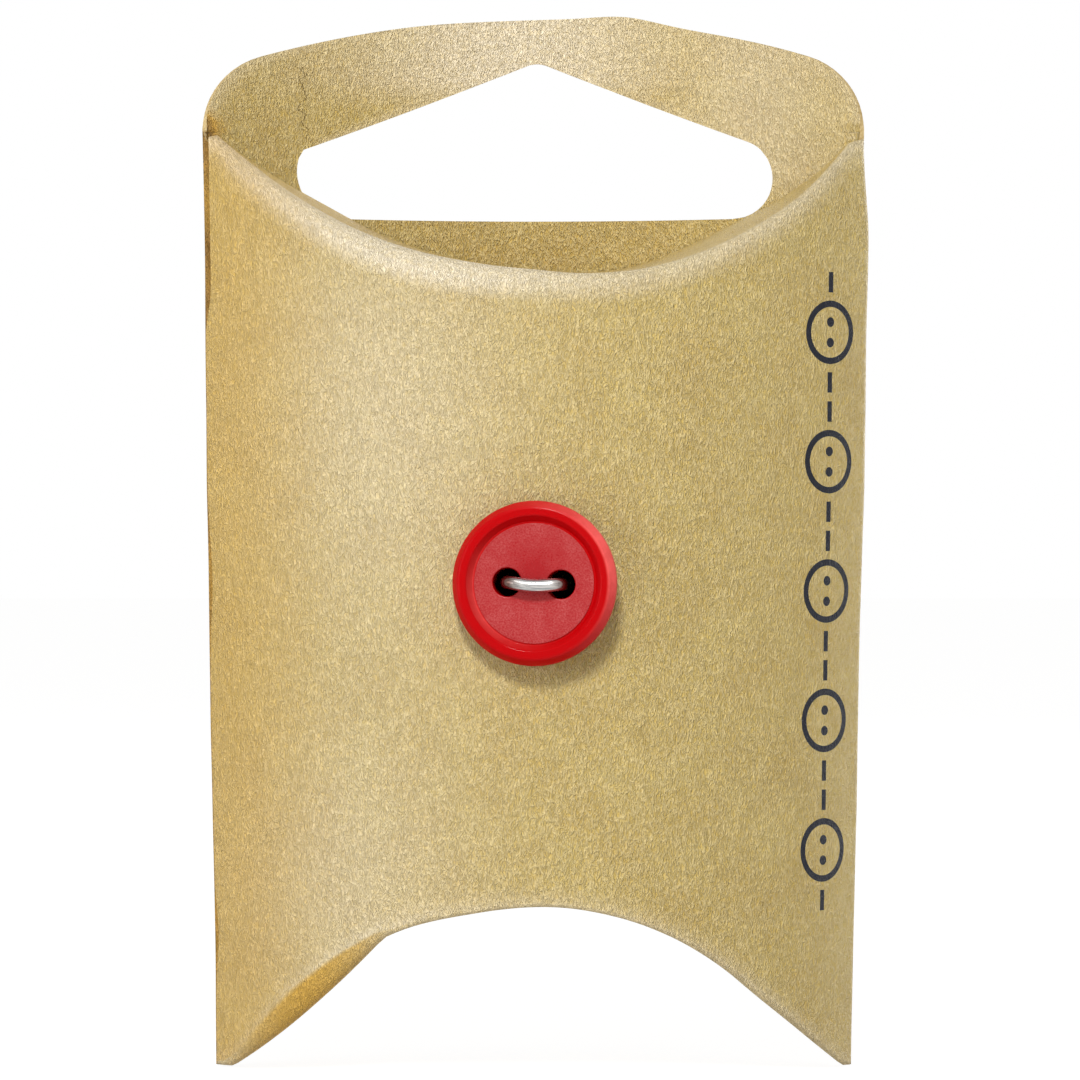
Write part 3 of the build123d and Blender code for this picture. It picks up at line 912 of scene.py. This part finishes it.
def makeButton():
    bm = bmesh.new()
    layer = bm.verts.layers.float_vector.new("face")
    paintedReflection = bm.verts.layers.float.new("paintedReflection")
    radius, floor, top = button["radius"], button["floor"], button["crestHeight"]
    crestOut = radius - button["shoulder"]
    crestIn = crestOut - button["crest"]
    grooveOut = crestIn - button["slope"]
    grooveIn = grooveOut - button["groove"]
    low = floor - button["grooveDepth"]
    profile = rounded([
        (grooveIn, floor, 0), (grooveIn, low, button["grooveRound"]), (grooveOut, low, button["grooveRound"]),
        (crestIn, top, button["innerRound"]), (crestOut, top, button["outerRound"]),
        (radius, button["edgeHigh"], button["edgeRound"]), (radius, button["edgeLow"], button["backRound"]),
        (button["backRadius"], 0, 0)])
    line = [bm.verts.new((p.x, 0, p.y)) for p in profile]
    edges = [bm.edges.new(pair) for pair in zip(line, line[1:])]
    bmesh.ops.spin(bm, geom=line + edges, axis=(0, 0, 1), cent=(0, 0, 0), steps=button["steps"],
                   angle=2 * math.pi, use_merge=True)
    holes = (-button["holeOffset"], button["holeOffset"])
    for x in holes:
        addButtonHole(bm, x)
    for height, outer in ((floor, grooveIn), (0.0, button["backRadius"])):
        loops = ringEdges(bm, outer, height)
        for x in holes:
            loops += ringEdges(bm, button["holeRadius"] + button["lip"], height, x)
        bmesh.ops.triangle_fill(bm, use_beauty=True, use_dissolve=False, edges=loops)
    bmesh.ops.remove_doubles(bm, verts=bm.verts, dist=button["merge"])
    bmesh.ops.recalc_face_normals(bm, faces=bm.faces)
    for v in bm.verts:
        v[layer] = v.co
        turn, away = math.degrees(math.atan2(v.co.y, v.co.x)), v.co.xy.length
        shoulder = ease((away - crestOut + button["hazeIn"]) / button["hazeEasing"])
        shoulder *= ease((v.co.z - button["hazeLow"]) / button["hazeRise"])
        slope = ease((crestIn - away) / button["slopeTop"]) * ease((away - grooveIn) / button["slopeFoot"])
        # painted reflection on the outer edge's right side and on the slope's lower left
        v[paintedReflection] = shoulder * bump(turn, *button["outerHaze"])
        v[paintedReflection] += button["slopeShare"] * slope * bump(turn % 360, *button["slopeHaze"])
    for face in bm.faces:
        middle = face.calc_center_median()
        face.smooth = abs(face.normal.z) < button["flatNormal"]
        onFloor = middle.z > floor - button["floorBand"] and middle.xy.length < grooveIn
        face.material_index = 1 if onFloor else 0
    piece = finishMesh(bm, "sewButton", [polishedRed(), satinRed()], toFrame() @ buttonSeat())
    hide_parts("sample_button")
    print("button turned", len(piece.data.polygons), "faces")


wire = {"streak": (0.5, 6, 6), "endShadeFrom": 1.3, "endShadeTo": 2.5}


def steelWire():
    # bright drawn wire: polished, with faint streaks along it, and painted reflection and shade in dark brown
    # towards the ends where it bends into the holes
    material, tree, skin = newMaterial("steelWire")
    middle = sum(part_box("staple"), Vector()) / 2
    place = addNode(tree, "ShaderNodeTexCoord", {}, "Object")
    along = addNode(tree, "ShaderNodeMapping", {
        "Vector": place, "Location": middle, "Scale": (mm, mm, mm)}, vector_type="TEXTURE")
    drawn = addNode(tree, vectorNode, {0: along, 1: wire["streak"]}, operation="MULTIPLY")
    streak = addNode(tree, noiseNode, {"Vector": drawn, "Scale": 1, "Detail": 2})
    streak = addNode(tree, rangeNode, {"Value": streak, "From Min": 0.35, "From Max": 0.65})
    colour = addNode(tree, mixNode, {
        "Factor": streak, "A": srgb("#9A9B9C"), "B": srgb("#DAD7D2")}, "Result", data_type="RGBA")
    side = addNode(tree, "ShaderNodeSeparateXYZ", {"Vector": along})
    side = addNode(tree, mathNode, {0: side}, operation="ABSOLUTE")
    # painted reflection and shade: darker brown towards the ends
    endShade = addNode(tree, rangeNode, {
        "Value": side, "From Min": wire["endShadeFrom"], "From Max": wire["endShadeTo"], "To Max": 0.9})
    colour = addNode(tree, mixNode, {
        "Factor": endShade, "A": colour, "B": srgb("#5A3A2E")}, "Result", data_type="RGBA")
    tree.links.new(colour, skin.inputs["Base Color"])
    skin.inputs["Metallic"].default_value = 1.0
    skin.inputs["Roughness"].default_value = 0.22
    return material


def makeStaple():
    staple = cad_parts["staple"]
    staple.data.materials.clear()
    staple.data.materials.append(steelWire())
    print("wire polished", len(staple.data.polygons), "faces")


stage = {"half": 4.0, "drop": 0.2 * mm, "glow": 1.17, "seen": 0.8}  # in metres


def makeStage():
    bm = bmesh.new()
    bmesh.ops.create_grid(bm, x_segments=1, y_segments=1, size=stage["half"])
    bmesh.ops.translate(bm, vec=(0, 0, cadBox[0].z - stage["drop"]), verts=bm.verts)
    mesh = bpy.data.meshes.new("floor")
    bm.to_mesh(mesh)
    bm.free()
    floor = bpy.data.objects.new("floor", mesh)
    scene.collection.objects.link(floor)
    # a floor that is nearly white to the camera and pale to the light
    material = bpy.data.materials.new("paleFloor")
    material.use_nodes = True
    tree = material.node_tree
    tree.nodes.clear()
    paint = addNode(tree, "ShaderNodeBsdfDiffuse", {"Color": srgb("#E8E6E2")})
    glow = addNode(tree, "ShaderNodeEmission", {"Strength": stage["glow"]})
    ray = addNode(tree, "ShaderNodeLightPath", {}).node.outputs
    seen = addNode(tree, mathNode, {0: ray["Is Camera Ray"], 1: ray["Is Glossy Ray"]}, operation="MAXIMUM")
    seen = addNode(tree, mathNode, {0: seen, 1: stage["seen"]}, operation="MULTIPLY")
    both = addNode(tree, "ShaderNodeMixShader", {0: seen, 1: paint, 2: glow})
    addNode(tree, "ShaderNodeOutputMaterial", {"Surface": both})
    mesh.materials.append(material)


light = {
    "sky": 0.34,
    # watts, size, place from the pack's middle in metres
    "key": (5.1, 0.14, (-0.07, -0.66, 0.53)),
    "side": (3.1, 0.7, (-0.75, -0.55, 0.02)),
    "back": (5.0, 0.4, (0.55, 0.65, -0.01)),
}


def makeLight():
    world = bpy.data.worlds.new("studio")
    scene.world = world
    world.use_nodes = True
    tree = world.node_tree
    sky = tree.nodes["Background"]
    # white to the camera and in reflections, dimmer as a light
    ray = addNode(tree, "ShaderNodeLightPath", {}).node.outputs
    seen = addNode(tree, mathNode, {0: ray["Is Camera Ray"], 1: ray["Is Glossy Ray"]}, operation="MAXIMUM")
    seen = addNode(tree, mathNode, {0: seen, 1: ray["Is Transmission Ray"]}, operation="MAXIMUM")
    level = addNode(tree, rangeNode, {"Value": seen, "To Min": light["sky"], "To Max": 1})
    sky.inputs["Color"].default_value = (1, 1, 1, 1)
    tree.links.new(level, sky.inputs["Strength"])
    target = (cadBox[0] + cadBox[1]) / 2
    for name in ("key", "side", "back"):
        power, size, place = light[name]
        lamp = bpy.data.lights.new(name, "AREA")
        lamp.energy, lamp.size = power, size
        holder = bpy.data.objects.new(name, lamp)
        holder.visible_camera = False
        holder.location = target + Vector(place)
        holder.rotation_euler = (target - holder.location).to_track_quat("-Z", "Y").to_euler()
        scene.collection.objects.link(holder)


view = {"distance": 500.0, "pixelsPerMm": 10.7, "imagePixels": 1080, "aimX": 0.28, "aimZ": 5.73}


def makeCamera():
    eye = bpy.data.cameras.new("camera")
    eye.lens = eye.sensor_width * view["pixelsPerMm"] * view["distance"] / view["imagePixels"]
    eye.clip_start, eye.clip_end = 0.01, 50
    holder = bpy.data.objects.new("camera", eye)
    holder.location = toFrame() @ Vector((view["aimX"], -view["distance"], view["aimZ"]))
    holder.rotation_euler = (math.pi / 2, 0, 0)
    scene.collection.objects.link(holder)
    scene.camera = holder


makePack()
makeButton()
makeStaple()
makeStage()
makeLight()
makeCamera()
print("stage set")
